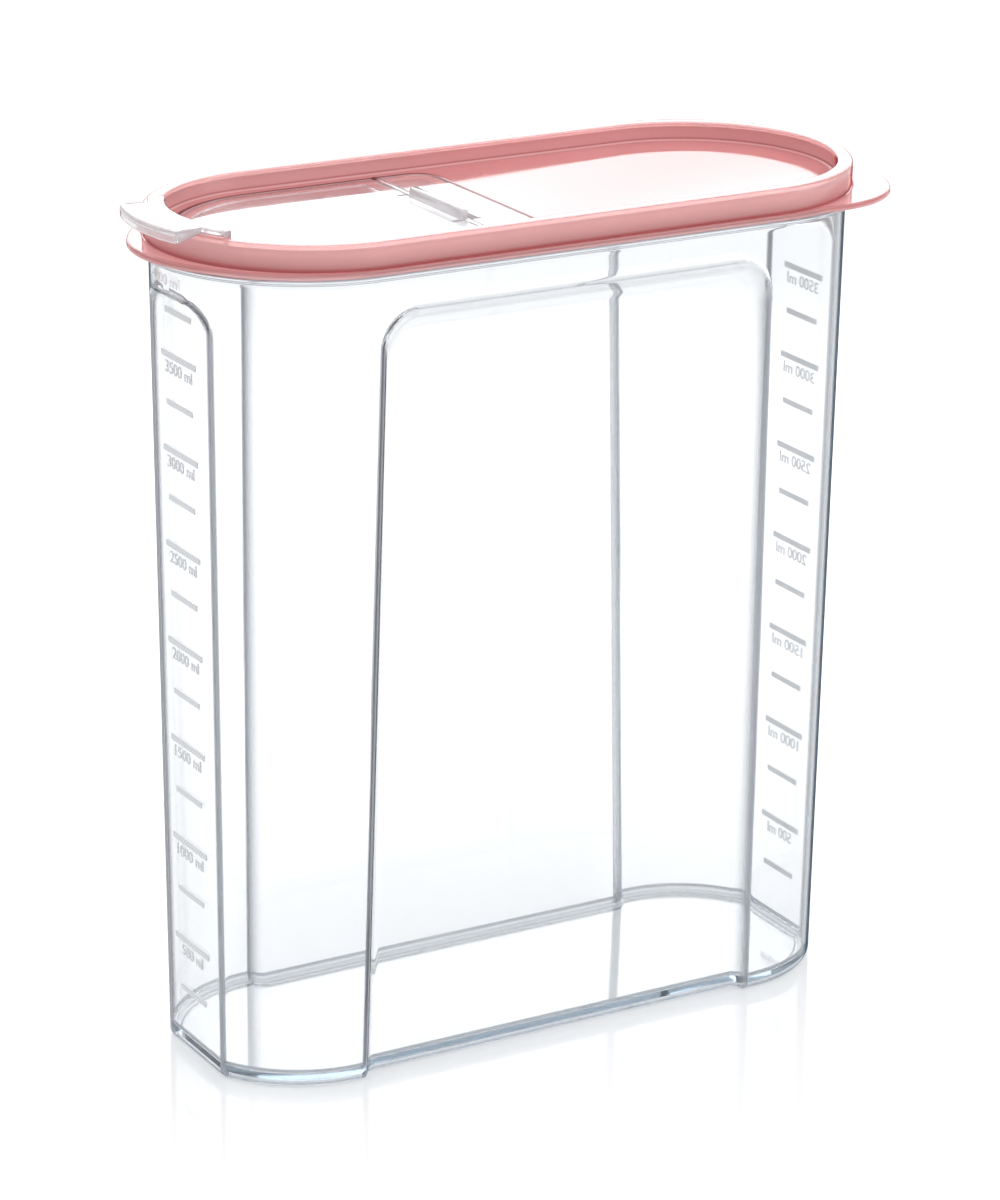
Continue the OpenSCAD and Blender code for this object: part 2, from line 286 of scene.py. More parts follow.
class Builder:
    """Collects loops, skins and caps into one mesh."""

    def __init__(self):
        self.verts, self.faces = [], []

    def loop(self, pts):
        start = len(self.verts)
        self.verts += pts
        return list(range(start, start + len(pts)))

    def skin(self, a, b):
        """Quads between two closed loops with the same number of points."""
        for k in range(len(a)):
            j = (k + 1) % len(a)
            self.faces.append((a[k], a[j], b[j], b[k]))

    def skins(self, loops):
        ids = [self.loop(p) for p in loops]
        for a, b in zip(ids, ids[1:]):
            self.skin(a, b)
        return ids

    def solid(self, loops):
        """Skins, with a flat face over the first loop and one over the last."""
        ids = self.skins(loops)
        self.faces += [tuple(ids[0][::-1]), tuple(ids[-1])]

    def tube(self, loops):
        """Skins, with the last loop joined to the first."""
        ids = self.skins(loops)
        self.skin(ids[-1], ids[0])

    def flat(self, outer, hole, up=True):
        """A flat area between an outer loop and a hole, triangulated."""
        ids = outer + hole
        tris = tessellate_polygon([[Vector(self.verts[i][:3]) for i in ring] for ring in (outer, hole)])
        pts = [Vector(self.verts[i][:2]) for i in ids]
        area = sum((pts[t[1]] - pts[t[0]]).cross(pts[t[2]] - pts[t[0]]) for t in tris)
        for tri in tris:
            t = tuple(ids[i] for i in tri)
            self.faces.append(t if (area > 0) == up else t[::-1])


# ------------------------------------------------------------------ materials
def material(name):
    mat = bpy.data.materials.new(name)
    mat.use_nodes = True
    nt = mat.node_tree
    nt.nodes.clear()
    out = nt.nodes.new("ShaderNodeOutputMaterial")
    bsdf = nt.nodes.new("ShaderNodeBsdfPrincipled")
    return mat, nt, out, bsdf


def object_coord(nt):
    return nt.nodes.new("ShaderNodeTexCoord").outputs["Object"]


def noise(nt, scale, detail, rough, vector):
    tex = nt.nodes.new("ShaderNodeTexNoise")
    tex.inputs["Scale"].default_value = scale
    tex.inputs["Detail"].default_value = detail
    tex.inputs["Roughness"].default_value = rough
    nt.links.new(vector, tex.inputs["Vector"])
    return tex.outputs["Fac"]


def ramp(nt, fac, stops):
    """stops are pairs of a position and a colour or grey level."""
    node = nt.nodes.new("ShaderNodeValToRGB")
    while len(node.color_ramp.elements) < len(stops):
        node.color_ramp.elements.new(0.5)
    for el, (pos, col) in zip(node.color_ramp.elements, stops):
        el.position = pos
        el.color = (*col, 1) if isinstance(col, tuple) else (col, col, col, 1)
    nt.links.new(fac, node.inputs["Fac"])
    return node.outputs["Color"]


def bump(nt, height, strength, distance):
    node = nt.nodes.new("ShaderNodeBump")
    node.inputs["Strength"].default_value = strength
    node.inputs["Distance"].default_value = distance
    nt.links.new(height, node.inputs["Height"])
    return node.outputs["Normal"]


def fill(nt, socket, value):
    """Feeds an input from another node's output, or gives it a plain number or colour."""
    if isinstance(value, bpy.types.NodeSocket):
        nt.links.new(value, socket)
    else:
        socket.default_value = (*value, 1) if isinstance(value, tuple) else value


def maths(nt, operation, *values):
    node = nt.nodes.new("ShaderNodeMath")
    node.operation = operation
    for socket, value in zip(node.inputs, values):
        fill(nt, socket, value)
    return node.outputs[0]


def mix_colours(nt, mode, a, b):
    node = nt.nodes.new("ShaderNodeMix")
    node.data_type, node.blend_type = "RGBA", mode
    # a Mix node's sockets 0, 6 and 7 are the share and the two colours, and output 2 is the mixed colour
    for socket, value in ((0, 1.0), (6, a), (7, b)):
        fill(nt, node.inputs[socket], value)
    return node.outputs[2]


def mix_shaders(nt, share, first, second):
    """share is how much of the second shader there is."""
    node = nt.nodes.new("ShaderNodeMixShader")
    for socket, value in zip(node.inputs, (share, first, second)):
        fill(nt, socket, value)
    return node.outputs[0]


def transparent(nt, tint):
    node = nt.nodes.new("ShaderNodeBsdfTransparent")
    fill(nt, node.inputs["Color"], tint)
    return node.outputs[0]


def plastic(name, face, glancing_shade, edge, outline, transmission, body, density, rough=(0.02, 0.05),
            pass_light=(0.985, 0.985, 0.985), haze=None, outline_shade_from=0.8, painted_end_reflection=None):
    """Moulded plastic: polished, with faint flow waves and handling marks. Its colour deepens where the wall is
    seen along its length and on the moulded edges: partly the longer way that light takes through the plastic there,
    partly painted shade for the dark lines that a clear wall shows along its edges and outline.
    face is the plain colour. grazing, a ramp of painted shade, multiplies it by how far the surface turns away, and
    edge, the colour of the painted edge shade, where it is marked. From outline_shade_from on it gives way to the
    clear outline colour, a painted dark outline, or to deep, a painted dark blue reflection, at the bin's right-hand
    end.
    haze is the transmission where it is marked, body and density tint the inside, and shadow rays pass as
    pass_light, so that what stands behind a clear wall stays lit."""
    mat, nt, out, bsdf = material(name)
    coord = object_coord(nt)
    facing = nt.nodes.new("ShaderNodeLayerWeight")
    facing.inputs["Blend"].default_value = 0.5
    from_inside = nt.nodes.new("ShaderNodeNewGeometry").outputs["Backfacing"]
    lean = maths(nt, "MULTIPLY_ADD", from_inside, -1.0, facing.outputs["Facing"])
    attribute = nt.nodes.new("ShaderNodeAttribute")
    attribute.attribute_name = "edge"
    marks = attribute.outputs["Fac"]
    # painted shade: the colour darkens at glancing angles and where the points are marked
    tint = mix_colours(nt, "MULTIPLY", ramp(nt, lean, glancing_shade), ramp(nt, marks, [(0.0, 1), (1.0, edge)]))
    nt.links.new(mix_colours(nt, "MULTIPLY", face, tint), bsdf.inputs["Base Color"])
    if haze is None:
        bsdf.inputs["Transmission Weight"].default_value = transmission
    else:
        nt.links.new(ramp(nt, marks, [(0.0, transmission), (1.0, haze)]), bsdf.inputs["Transmission Weight"])
    bsdf.inputs["IOR"].default_value = 1.49
    smears = ramp(nt, noise(nt, 45, 2, 0.6, coord), [(0.35, rough[0]), (0.75, rough[1])])
    nt.links.new(smears, bsdf.inputs["Roughness"])
    nt.links.new(bump(nt, noise(nt, 14, 1.0, 0.4, coord), 0.1, 0.0003), bsdf.inputs["Normal"])
    if painted_end_reflection:
        # along X, in metres: the right-hand end starts at about 0.1. There the outline colour turns to deep, a painted
        # dark blue reflection, and the painted outline reaches further in.
        along = nt.nodes.new("ShaderNodeSeparateXYZ")
        nt.links.new(coord, along.inputs[0])
        outline = ramp(nt, along.outputs["X"], [(0.08, outline), (0.108, painted_end_reflection)])
        lean = maths(nt, "ADD", lean, ramp(nt, along.outputs["X"], [(0.095, 0), (0.108, 0.11)]))
    # painted dark outline: at glancing angles the surface gives way to a see-through shader in the outline colour
    painted_outline_share = ramp(nt, lean, [(outline_shade_from, 0), (0.88, 0.9)])
    surface = mix_shaders(nt, painted_outline_share, bsdf.outputs["BSDF"], transparent(nt, outline))
    shadow = nt.nodes.new("ShaderNodeLightPath").outputs["Is Shadow Ray"]
    nt.links.new(mix_shaders(nt, shadow, surface, transparent(nt, pass_light)), out.inputs["Surface"])
    inside = nt.nodes.new("ShaderNodeVolumeAbsorption")
    inside.inputs["Color"].default_value = (*body, 1)
    inside.inputs["Density"].default_value = density
    nt.links.new(inside.outputs[0], out.inputs["Volume"])
    return mat


def relief_material(name, tones, clear=0.0, fade=0.0):
    """Frosted, finely hatched face of the raised graduations. fade lets what lies behind show through."""
    mat, nt, out, bsdf = material(name)
    wave = nt.nodes.new("ShaderNodeTexWave")
    wave.bands_direction = "DIAGONAL"
    wave.inputs["Scale"].default_value = 420
    wave.inputs["Distortion"].default_value = 0.6
    nt.links.new(object_coord(nt), wave.inputs["Vector"])
    nt.links.new(ramp(nt, wave.outputs["Fac"], tones), bsdf.inputs["Base Color"])
    bsdf.inputs["Roughness"].default_value = 0.45
    bsdf.inputs["Transmission Weight"].default_value = clear
    nt.links.new(bump(nt, wave.outputs["Fac"], 0.4, 0.0002), bsdf.inputs["Normal"])
    nt.links.new(mix_shaders(nt, fade, bsdf.outputs["BSDF"], transparent(nt, (1, 1, 1))), out.inputs["Surface"])
    return mat


# Painted shade for the clear plastics: they darken to grey-blue at glancing angles, their edge colour paints grey
# lines on marked edges, and their outline colour is a painted dark outline. At the bin's right-hand end deep paints a
# dark blue reflection.
PAINTED_GLANCING_SHADE = [(0.0, 1), (0.69, (0.99, 0.992, 0.995)), (0.82, (0.92, 0.94, 0.96)), (1.0, (0.65, 0.70, 0.76))]
CLEAR = plastic("clear_wall", (0.94, 0.943, 0.947), PAINTED_GLANCING_SHADE, edge=(0.43, 0.46, 0.50), outline=(0.22, 0.29, 0.36),
                transmission=1.0, body=(0.50, 0.60, 0.68), density=26, haze=0.25, outline_shade_from=0.73,
                painted_end_reflection=(0.01, 0.22, 0.44))
CLEAR_COVER = plastic("clear_cover", (0.99, 0.985, 0.985), PAINTED_GLANCING_SHADE, edge=(0.60, 0.56, 0.58),
                      outline=(0.60, 0.56, 0.58), transmission=1.0, body=(0.62, 0.56, 0.60), density=18,
                      rough=(0.03, 0.09), haze=0.4)
THICK = dict(glancing_shade=PAINTED_GLANCING_SHADE, edge=(0.60, 0.54, 0.56), outline=(0.66, 0.60, 0.62), body=(0.80, 0.76, 0.78),
             density=18, haze=0.2)
CLEAR_THICK = plastic("clear_thick", (0.97, 0.95, 0.955), transmission=0.82, rough=(0.05, 0.12), **THICK)
CLEAR_BAR = plastic("clear_bar", (1.0, 0.985, 0.99), transmission=0.62, rough=(0.08, 0.16), **THICK)
# The rose plastics carry the same painted shade: darker rose at glancing angles, a painted dark rose outline, and
# darker rose on marked edges.
ROSE = dict(glancing_shade=[(0.0, 1), (0.7, (0.97, 0.93, 0.93)), (1.0, (0.80, 0.55, 0.55))], outline=(0.72, 0.36, 0.37),
            transmission=0.5, body=(0.86, 0.48, 0.48), density=60, rough=(0.06, 0.12),
            pass_light=(0.96, 0.84, 0.84))
PINK = plastic("pink_tinted", (0.95, 0.63, 0.62), edge=(0.50, 0.16, 0.17), **ROSE)
# The deck and the seat are a deeper pink, and their edge colour paints a dark red line of shade along the seat's step.
PINK_DECK = plastic("pink_deck", (0.85, 0.41, 0.41), edge=(0.26, 0.07, 0.10), **ROSE)
RELIEF = relief_material("raised_marks", [(0.2, (0.72, 0.73, 0.74)), (0.8, (0.86, 0.87, 0.88))])
# The right-hand panel is seen through the bin: its marks get a paler copy of the relief, painted light, and let what
# lies behind show through.
RELIEF_PAINTED_PALE = relief_material("raised_marks_painted_pale", [(0.2, (0.87, 0.88, 0.89)), (0.8, (0.95, 0.96, 0.97))], fade=0.4)
FAINT = relief_material("faint_marks", [(0.2, (0.95, 0.955, 0.96)), (0.8, 0.99)], clear=0.5, fade=0.65)


# ------------------------------------------------------------------ bin
def build_container():
    b = Builder()
    heights = [4.2, 8, 16, 30, 50, 75, 100, 125, 150, 175, 200, 215, 224]
    heights += [224 + k * 0.75 for k in range(1, 30)] + [248, 250.5, 252.6]
    # The marks paint shade: on the foot's fillet, on the steps of the rim and in the inner corner of the floor.
    foot = [unmarked(body_loop(1.2, 4.6, at=0)), body_loop(0.3, 4.4, at=0), body_loop(0.0, 4.0, at=0)]
    fillet = [body_loop(FOOT_FILLET + dz, FOOT_FILLET - dx, at=FOOT_FILLET, edge=0.3 if dx > 0.2 else 0.55)
              for dx, dz in arc(FOOT_FILLET, -90, 0, 6)]
    fillet.append(body_loop(2.75))
    wall = [body_loop(z) for z in heights]
    rim = [plan(c, r, z, edge=edge_shade) for c, r, z, edge_shade in (
        (MOUTH_C, MOUTH_R, 254.0, 0.0), (MOUTH_C, MOUTH_R + 0.3, 254.6, 0.0),
        (MOUTH_C + 0.1, MOUTH_R + 0.8, BODY_H, 0.0), (RIM_C, RIM_R - 1.3, BODY_H, 0.3),
        (RIM_C, RIM_R - 0.8, 254.85, 1.0), (RIM_C, RIM_R - 0.5, 255.05, 0.5), (RIM_C, RIM_R - 0.45, 255.35, 0.2),
        (RIM_C, RIM_R - 0.4, 255.5, 1.0), (RIM_C, RIM_R - 0.1, 255.65, 0.6), (RIM_C, RIM_R, 255.85, 0.3),
        (RIM_C, RIM_R, 256.2, 0.3), (RIM_C, RIM_R - 0.1, 256.4, 1.0), (RIM_C, RIM_R - 0.5, RIM_TOP, 0.8),
        (NECK_C, NECK_RO + 0.3, RIM_TOP, 0.0), (NECK_C, NECK_RO, RIM_TOP + 0.3, 0.0),
        (NECK_C, NECK_RO, NECK_TOP - 0.5, 0.0), (NECK_C, NECK_RO - 0.5, NECK_TOP, 0.0),
        (NECK_C, NECK_RI + 0.4, NECK_TOP, 0.0), (NECK_C, NECK_RI, NECK_TOP - 0.4, 0.0),
        (NECK_C, NECK_RI, RIM_TOP + 0.3, 0.0), (MOUTH_C, MOUTH_R - WALL + 0.1, 255.6, 0.0))]
    inner = [body_loop(z, WALL, INNER_GROW) for z in reversed(heights) if z > 6]
    inner.append(body_loop(FLOOR_TOP + 2.2, WALL, INNER_GROW))
    floor = [body_loop(FLOOR_TOP + FLOOR_FILLET + dz, WALL + FLOOR_FILLET - dx, INNER_GROW, at=5.4, edge=edge_shade)
             for edge_shade, (dx, dz) in zip((1.0, 0.8, 0.35, 0.0, 0.0, 0.25, 0.0), arc(FLOOR_FILLET, 0, -90, 6))]
    floor[-1] = unmarked(floor[-1])
    b.solid(foot + fillet + wall + rim + inner + floor)
    obj = new_object("bin_shell", b.verts, b.faces, "container", [CLEAR], angle=28)
    face_outwards(obj)
    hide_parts("container")


# ------------------------------------------------------------------ lid
def flange_extra(station):
    """Extra reach of the lid's flange: the pull tab at one corner and the lip under the thumb tab."""
    kind, side, v = station
    if kind != "end":
        return 0.0
    angle, reach, radius = (TAB_ANGLE, TAB_REACH, TAB_R) if side > 0 else (math.pi, LIP_REACH, LIP_R)
    phi = turned(v, angle)
    d = reach - radius
    under = radius ** 2 - (d * math.sin(phi)) ** 2
    if abs(phi) > math.radians(60) or under <= 0:
        return 0.0
    return max(smooth_max(FLANGE_R, d * math.cos(phi) + math.sqrt(under), 1.2) - FLANGE_R, 0.0)


def flange_loop(r, z, edge_shade=0.0, share=1.0):
    """Loop of the lid's flange, with a share of its tabs."""
    return plan(RIM_C, r, z, lambda station: share * flange_extra(station), edge_shade)


def rim_loop(r, z, edge_shade=0.0):
    """Loop of the lid's raised rim."""
    return plan(NECK_C, r, z, edge=edge_shade)


def cover_outline(r, back, corner, z, edge=0.0):
    """Loop of the plates' outline: a round end about the ring's centre, straight sides and two round back corners."""
    cx, cy = -back - corner, r - corner
    side = -NECK_C - cx
    turn = [math.radians(90 * k / 12) for k in range(13)]
    sweep = [math.radians(90 + 180 * k / 72) for k in range(73)]
    pts = [(cx + corner * math.cos(a), cy + corner * math.sin(a)) for a in turn]
    pts += [(cx + side * k / 8, r) for k in range(1, 8)]
    pts += [(-NECK_C + r * math.cos(a), r * math.sin(a)) for a in sweep]
    pts += [(-NECK_C - side * k / 8, -r) for k in range(1, 8)]
    pts += [(cx + corner * math.cos(a), -cy - corner * math.sin(a)) for a in reversed(turn)]
    return [(x, y, z, edge) for x, y in pts]


def grown_outlines(r, back, corner, rows):
    """Loops of cover_outline from rows of how much larger it is, its height and its mark of painted edge shade."""
    return [cover_outline(r + d, back - d, corner + d, z, edge_shade) for d, z, edge_shade in rows]


def build_lid():
    b = Builder()
    # outer flange, groove, raised rim, inner wall, down to the deck. The marks paint shade on the flange's edge, in
    # the groove at the rim's foot, on the rim's rounded top and at the foot of its inner wall.
    low = RIM_TOP + 0.02
    profile = [rim_loop(CHANNEL_RO, low), flange_loop(FLANGE_R - 1.6, low), flange_loop(FLANGE_R - 0.5, low)]
    profile += [flange_loop(FLANGE_R - 0.5 + dx, RIM_TOP + 0.52 + dz) for dx, dz in arc(0.5, -60, 0, 3)]
    profile += [flange_loop(FLANGE_R - 0.7 + dx, FLANGE_TOP - 0.7 + dz, 0.55) for dx, dz in arc(0.7, 0, 90, 4)]
    profile += [flange_loop(FLANGE_R - 1.1, FLANGE_TOP, 0.5), flange_loop(FLANGE_R - 1.15, FLANGE_TOP, share=0.93),
                flange_loop(FLANGE_R - 1.2, FLANGE_TOP, share=0.5)]
    profile += [rim_loop(RING_RO + dx, FLANGE_TOP + dz, edge_shade) for dx, dz, edge_shade in (
        (0.9, 0.0, 0.1), (0.4, 0.0, 0.7), (0.2, -0.4, 0.8), (-0.2, -0.1, 0.8), (-0.15, 0.5, 0.7),
        (-0.05, 1.2, 0.42), (0.0, 2.5, 0.2), (0.0, 5.0, 0.05))]
    profile.append(rim_loop(RING_RO, RING_TOP - 0.9))
    profile += [rim_loop(RING_RO - 0.9 + dx, RING_TOP - 0.9 + dz, edge_shade)
                for edge_shade, (dx, dz) in zip((0.0, 0.0, 0.1, 0.3, 0.6, 0.5), arc(0.9, 15, 90, 5))]
    profile += [rim_loop(RING_RI + 0.7 + dx, RING_TOP - 0.7 + dz, 0.22) for dx, dz in arc(0.7, 90, 180, 5)]
    profile += [rim_loop(RING_RI, DECK + dz, edge_shade) for dz, edge_shade in ((4.6, 0.22), (2.6, 0.08), (1.2, 0.05), (0.6, 0.7))]
    profile += [rim_loop(RING_RI - 0.6 + dx, DECK + 0.6 + dz) for dx, dz in arc(0.6, -20, -90, 4)]
    outer = b.skins(profile)
    # seam and seat for the plates, then the pour opening, its collar below and the ledge under the seat. The seam and
    # the seat's step are marked in full, for a painted dark line of shade.
    seam = grown_outlines(SEAT_R, BACK_X, BACK_R, (
        (0.9, DECK, 0.1), (0.55, DECK, 1.0), (0.1, DECK - 0.12, 1.0), (0.0, DECK - 0.4, 1.0), (0.0, SEAT, 1.0)))
    opening = grown_outlines(HOLE_R, HOLE_BACK, HOLE_CORNER, (
        (0.25, SEAT, 0.0), (0.0, SEAT - 0.25, 0.0), (0.0, 255.6, 0.0), (0.3, 255.3, 0.0), (0.9, 255.3, 0.0),
        (1.2, 255.6, 0.0), (1.2, LEDGE, 0.0)))
    ledge = [cover_outline(*LEDGE_OUTLINE, z) for z in (LEDGE, SEAT)]
    seam_start = len(b.faces)
    middle = b.skins(seam + opening + ledge)
    seam_end = seam_start + (len(seam) - 1) * len(seam[0])
    deck_start = len(b.faces)
    b.flat(outer[-1], middle[0], up=True)
    deck_end = len(b.faces)
    # underside: from the deck out to the channel for the bin's upstand and back to the flange
    under = b.skins([rim_loop(r, z) for r, z in (
        (RING_RI - 0.2, SEAT), (RING_RI, SEAT - 0.2), (RING_RI, CHANNEL_LOW), (CHANNEL_RI, CHANNEL_LOW),
        (CHANNEL_RI, CHANNEL_TOP), (CHANNEL_RO, CHANNEL_TOP))])
    b.skin(under[-1], outer[0])
    b.flat(under[0], middle[-1], up=False)
    mats = [int(seam_start <= k < seam_end or deck_start <= k < deck_end) for k in range(len(b.faces))]
    obj = new_object("lid_shell", b.verts, b.faces, "lid", [PINK, PINK_DECK], mats, angle=30)
    face_outwards(obj)
    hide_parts("lid_frame")


# ------------------------------------------------------------------ flip cover and hinge plate
def round_section(corners, steps=3):
    """Rounds the corners (x, z, radius) of a closed section. Returns (x, z, mark) points; the mark paints edge shade,
    strong on the rounded corners and slight on the flats.
    """
    pts, n = [], len(corners)
    for k in range(n):
        p = Vector(corners[k][:2])
        a, c = Vector(corners[k - 1][:2]), Vector(corners[(k + 1) % n][:2])
        u, w = (a - p).normalized(), (c - p).normalized()
        reach = min(corners[k][2], (a - p).length * 0.45, (c - p).length * 0.45)
        s, e = p + u * reach, p + w * reach
        for m in range(steps + 1):
            t = m / steps
            q = s * (1 - t) ** 2 + p * 2 * t * (1 - t) + e * t * t
            pts.append((q.x, q.y, 0.7 if 0 < m < steps else 0.05))
    return pts


def shrink(outline, d):
    """Moves a closed plan outline (x, y) inwards by d."""
    out, n = [], len(outline)
    for k in range(n):
        p, a, c = (Vector(outline[j % n]) for j in (k, k - 1, k + 1))
        e1, e2 = (p - a).normalized(), (c - p).normalized()
        n1, n2 = Vector((-e1.y, e1.x)), Vector((-e2.y, e2.x))
        m = n1 + n2
        m = m / max(m.length_squared / 2, 0.6)
        out.append(tuple(p + m * d))
    return out


def plate(b, outline, z0, z1):
    """A flat plate with softened edges from a counter-clockwise outline. Its softened edges are marked for painted
    edge shade.
    """
    rows = [(0.4, z0, 0.0), (0.22, z0, 0.5), (0.0, z0 + 0.22, 0.6), (0.0, z1 - 0.28, 0.6), (0.1, z1 - 0.08, 0.6),
            (0.22, z1, 0.4), (0.4, z1, 0.0)]
    b.solid([[(x, y, z, m) for x, y in shrink(outline, d)] for d, z, m in rows])


def hinge_side(edge, slit_end, front):
    """A plate's straight side from +Y to -Y, between its long edges: the front of its middle part and two slits."""
    half = [(edge, SLIT_Y + SLIT_HALF), (slit_end, SLIT_Y + SLIT_HALF), (slit_end, SLIT_Y - SLIT_HALF),
            (front, SLIT_Y - SLIT_HALF)]
    return half + [(x, -y) for x, y in half[::-1]]


def thumb_tab(b):
    """A lip over the raised rim, and a tongue that reaches further round inside it."""
    loops = []
    for deg in (k * TONGUE_DEG / 60 for k in range(-60, 61)):
        lip = smooth((LIP_DEG - abs(deg)) / 2.4)
        taper = 1 - smooth((TONGUE_DEG - abs(deg)) / 1.6)
        ro, zb = 47.6 + (THUMB_R - 47.6) * lip, 266.75 - 2.0 * lip
        side = 0.5 * taper
        top = THUMB_TOP - side
        section = round_section([
            (37.6, 260.45, 0.1), (40.1, 260.45, 0.1), (40.1, 260.8, 0.2), (44.2 - side, 260.8, 0.6),
            (44.2 - side, 266.7, 0.5), (ro - 1.9, 266.7, 0.6), (ro - 1.8, zb, 0.5), (ro - side, zb, 0.6),
            (ro - side, top, 1.1), (42.4 + side, top, 1.0), (42.4 + side, 262.6, 1.2), (39.6, 262.2, 1.2),
            (37.6, 260.6, 0.1)])
        a = math.radians(180 + deg)
        # painted edge shade on the tongue's tapering ends and along the border of the lip
        edge_shade = side + 0.5 * 4 * lip * (1 - lip)
        loops.append([(-NECK_C + r * math.cos(a), r * math.sin(a), z, min(1.0, m + edge_shade)) for r, z, m in section])
    b.solid(loops)


def grip_bar(b):
    """The upright bar over the hinge, drawn in at its two ends."""
    ends = [(-1, 0.35), (-0.985, 0.75), (-0.95, 0.93), (-0.91, 1.0)]
    loops = []
    for t, k in ends + [(-t, k) for t, k in ends[::-1]]:
        section = round_section([(-1.45 * k, SEAT + 0.35, 0.2), (1.45 * k, SEAT + 0.35, 0.2),
                                 (1.3 * k, DECK + 2.8 * k, 0.9), (-1.3 * k, DECK + 2.8 * k, 0.9)], 5)
        # painted edge shade on the rounded corners, stronger at the drawn-in ends
        loops.append([(-HINGE_X + x, t * BAR_HALF, z, m * (0.4 if k == 1 else 0.9)) for x, z, m in section])
    b.solid(loops)


def raised_circle(b, r, half, height=0.14):
    """A faint round bead on the cover, with radius r and half width half. Its flanks are marked for painted grey bands
    of shade.
    """
    loops = []
    for u, edge_shade in zip((-1 + 2 * k / 6 for k in range(7)), (0.4, 0.55, 0.25, 0.12, 0.25, 0.55, 0.4)):
        z = DECK - 0.05 + height * (math.cos(math.pi * u) + 1) / 2
        loops.append([(-NECK_C + (r + half * u) * math.cos(a), (r + half * u) * math.sin(a), z, edge_shade)
                      for a in (math.radians(3 * j) for j in range(120))])
    b.tube(loops)


def build_cover():
    b = Builder()
    edge = -HINGE_X - 1.2
    outline = [(-NECK_C + COVER_R * math.cos(a), COVER_R * math.sin(a))
               for a in (math.radians(90 + 180 * k / 72) for k in range(73))]
    outline += [(edge, -COVER_R)] + hinge_side(edge, -HINGE_X - 4.6, -HINGE_X - 1.4)[::-1] + [(edge, COVER_R)]
    plate(b, outline, SEAT + 0.3, DECK)
    tab_start = len(b.faces)
    thumb_tab(b)
    bar_start = len(b.faces)
    grip_bar(b)
    bar_end = len(b.faces)
    # plug rib under the plate, between the radii r0 and r1
    r0, r1 = 35.7, 34.3
    b.tube([cover_outline(*row) for row in (
        (r0, 29.2, 2.0, SEAT + 0.35), (r0, 29.2, 2.0, SEAT - 2.4), (r0 - 0.4, 29.6, 1.8, SEAT - 2.8, 0.4),
        (r1 + 0.2, 30.4, 1.2, SEAT - 2.8, 0.4), (r1, 30.6, 1.0, SEAT - 2.5), (r1, 30.6, 1.0, SEAT + 0.35))])
    raised_circle(b, 20.5, 1.5)
    raised_circle(b, 17.0, 1.1)
    mats = [1 if tab_start <= k < bar_start else 2 if bar_start <= k < bar_end else 0 for k in range(len(b.faces))]
    obj = new_object("cover_shell", b.verts, b.faces, "cover", [CLEAR_COVER, CLEAR_THICK, CLEAR_BAR],
                     mats, angle=40)
    face_outwards(obj)
    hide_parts("flip_cover")


def build_plate():
    b = Builder()
    front, back, corner = -HINGE_X + 1.2, -BACK_X - 0.3, BACK_R - 0.3
    turn = [math.radians(9 * k) for k in range(11)]
    outline = [(front, COVER_R)] + hinge_side(front, -HINGE_X + 4.6, -HINGE_X + 4.0) + [(front, -COVER_R)]
    outline += [(back - corner + corner * math.sin(a), -COVER_R + corner - corner * math.cos(a)) for a in turn]
    outline += [(back - corner + corner * math.cos(a), COVER_R - corner + corner * math.sin(a)) for a in turn]
    plate(b, outline, SEAT + 0.02, DECK)
    # two clips that hold it behind the edge of the pour opening
    section = round_section([(-HOLE_BACK + x, z, r) for x, z, r in (
        (-1.2, SEAT + 0.1, 0.1), (-1.2, LEDGE - 2.2, 0.4), (-0.3, LEDGE - 2.2, 0.4), (0.9, LEDGE - 1.0, 0.3),
        (0.9, LEDGE - 0.15, 0.2), (-0.3, LEDGE - 0.15, 0.1), (-0.3, SEAT + 0.1, 0.1))], 2)
    for middle in (-22, 22):
        b.solid([[(x, middle + y, z, m) for x, z, m in section] for y in (-5.0, -4.7, 4.7, 5.0)])
    obj = new_object("rear_plate", b.verts, b.faces, "lid", [CLEAR_COVER], angle=40)
    face_outwards(obj)
    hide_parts("hinge_plate")


# ------------------------------------------------------------------ graduations
def panel_x(z):
    return end_c(z) + end_r(z) - PANEL_DEPTH


class Graduations:
    """Raised bars and figures on the two end panels, with side +1 or -1 along X."""

    def __init__(self):
        self.verts, self.faces = [], []

    def bar(self, side, ends, z, half):
        base = len(self.verts)
        y0, y1 = ends
        for depth in (-0.1, 0.28):
            for y, level in ((y0, z - half), (y1, z - half), (y1, z + half), (y0, z + half)):
                self.verts.append((side * (panel_x(level) + depth), y, level))
        for f in ((0, 1, 2, 3), (7, 6, 5, 4), (0, 4, 5, 1), (1, 5, 6, 2), (2, 6, 7, 3), (3, 7, 4, 0)):
            self.faces.append(tuple(base + i for i in f))

    def figure(self, side, text, width, height, z_top):
        """Letters from Blender's own font, fitted to a width and height. Above the panel they follow the wall."""
        curve = bpy.data.curves.new("words", "FONT")
        curve.body = text
        curve.extrude = 0.02
        obj = bpy.data.objects.new("words", curve)
        scene.collection.objects.link(obj)
        bpy.context.view_layer.update()
        mesh = bpy.data.meshes.new_from_object(obj.evaluated_get(bpy.context.evaluated_depsgraph_get()))
        pts = np.array([v.co[:] for v in mesh.vertices])
        lo, hi = pts.min(0), pts.max(0)
        base = len(self.verts)
        for x, y, z in pts:
            u = ((x - lo[0]) / (hi[0] - lo[0]) - 0.5) * width
            v = z_top - height + (y - lo[1]) / (hi[1] - lo[1]) * height
            depth = -0.1 if z < 0 else 0.26
            y = side * u + FIGURE_Y[side]
            face = panel_x(v) if v < 245 else end_c(v) + math.sqrt(end_r(v) ** 2 - y * y)
            self.verts.append((side * (face + depth), y, v))
        for poly in mesh.polygons:
            self.faces.append(tuple(base + i for i in poly.vertices))
        bpy.data.objects.remove(obj)
        bpy.data.meshes.remove(mesh)


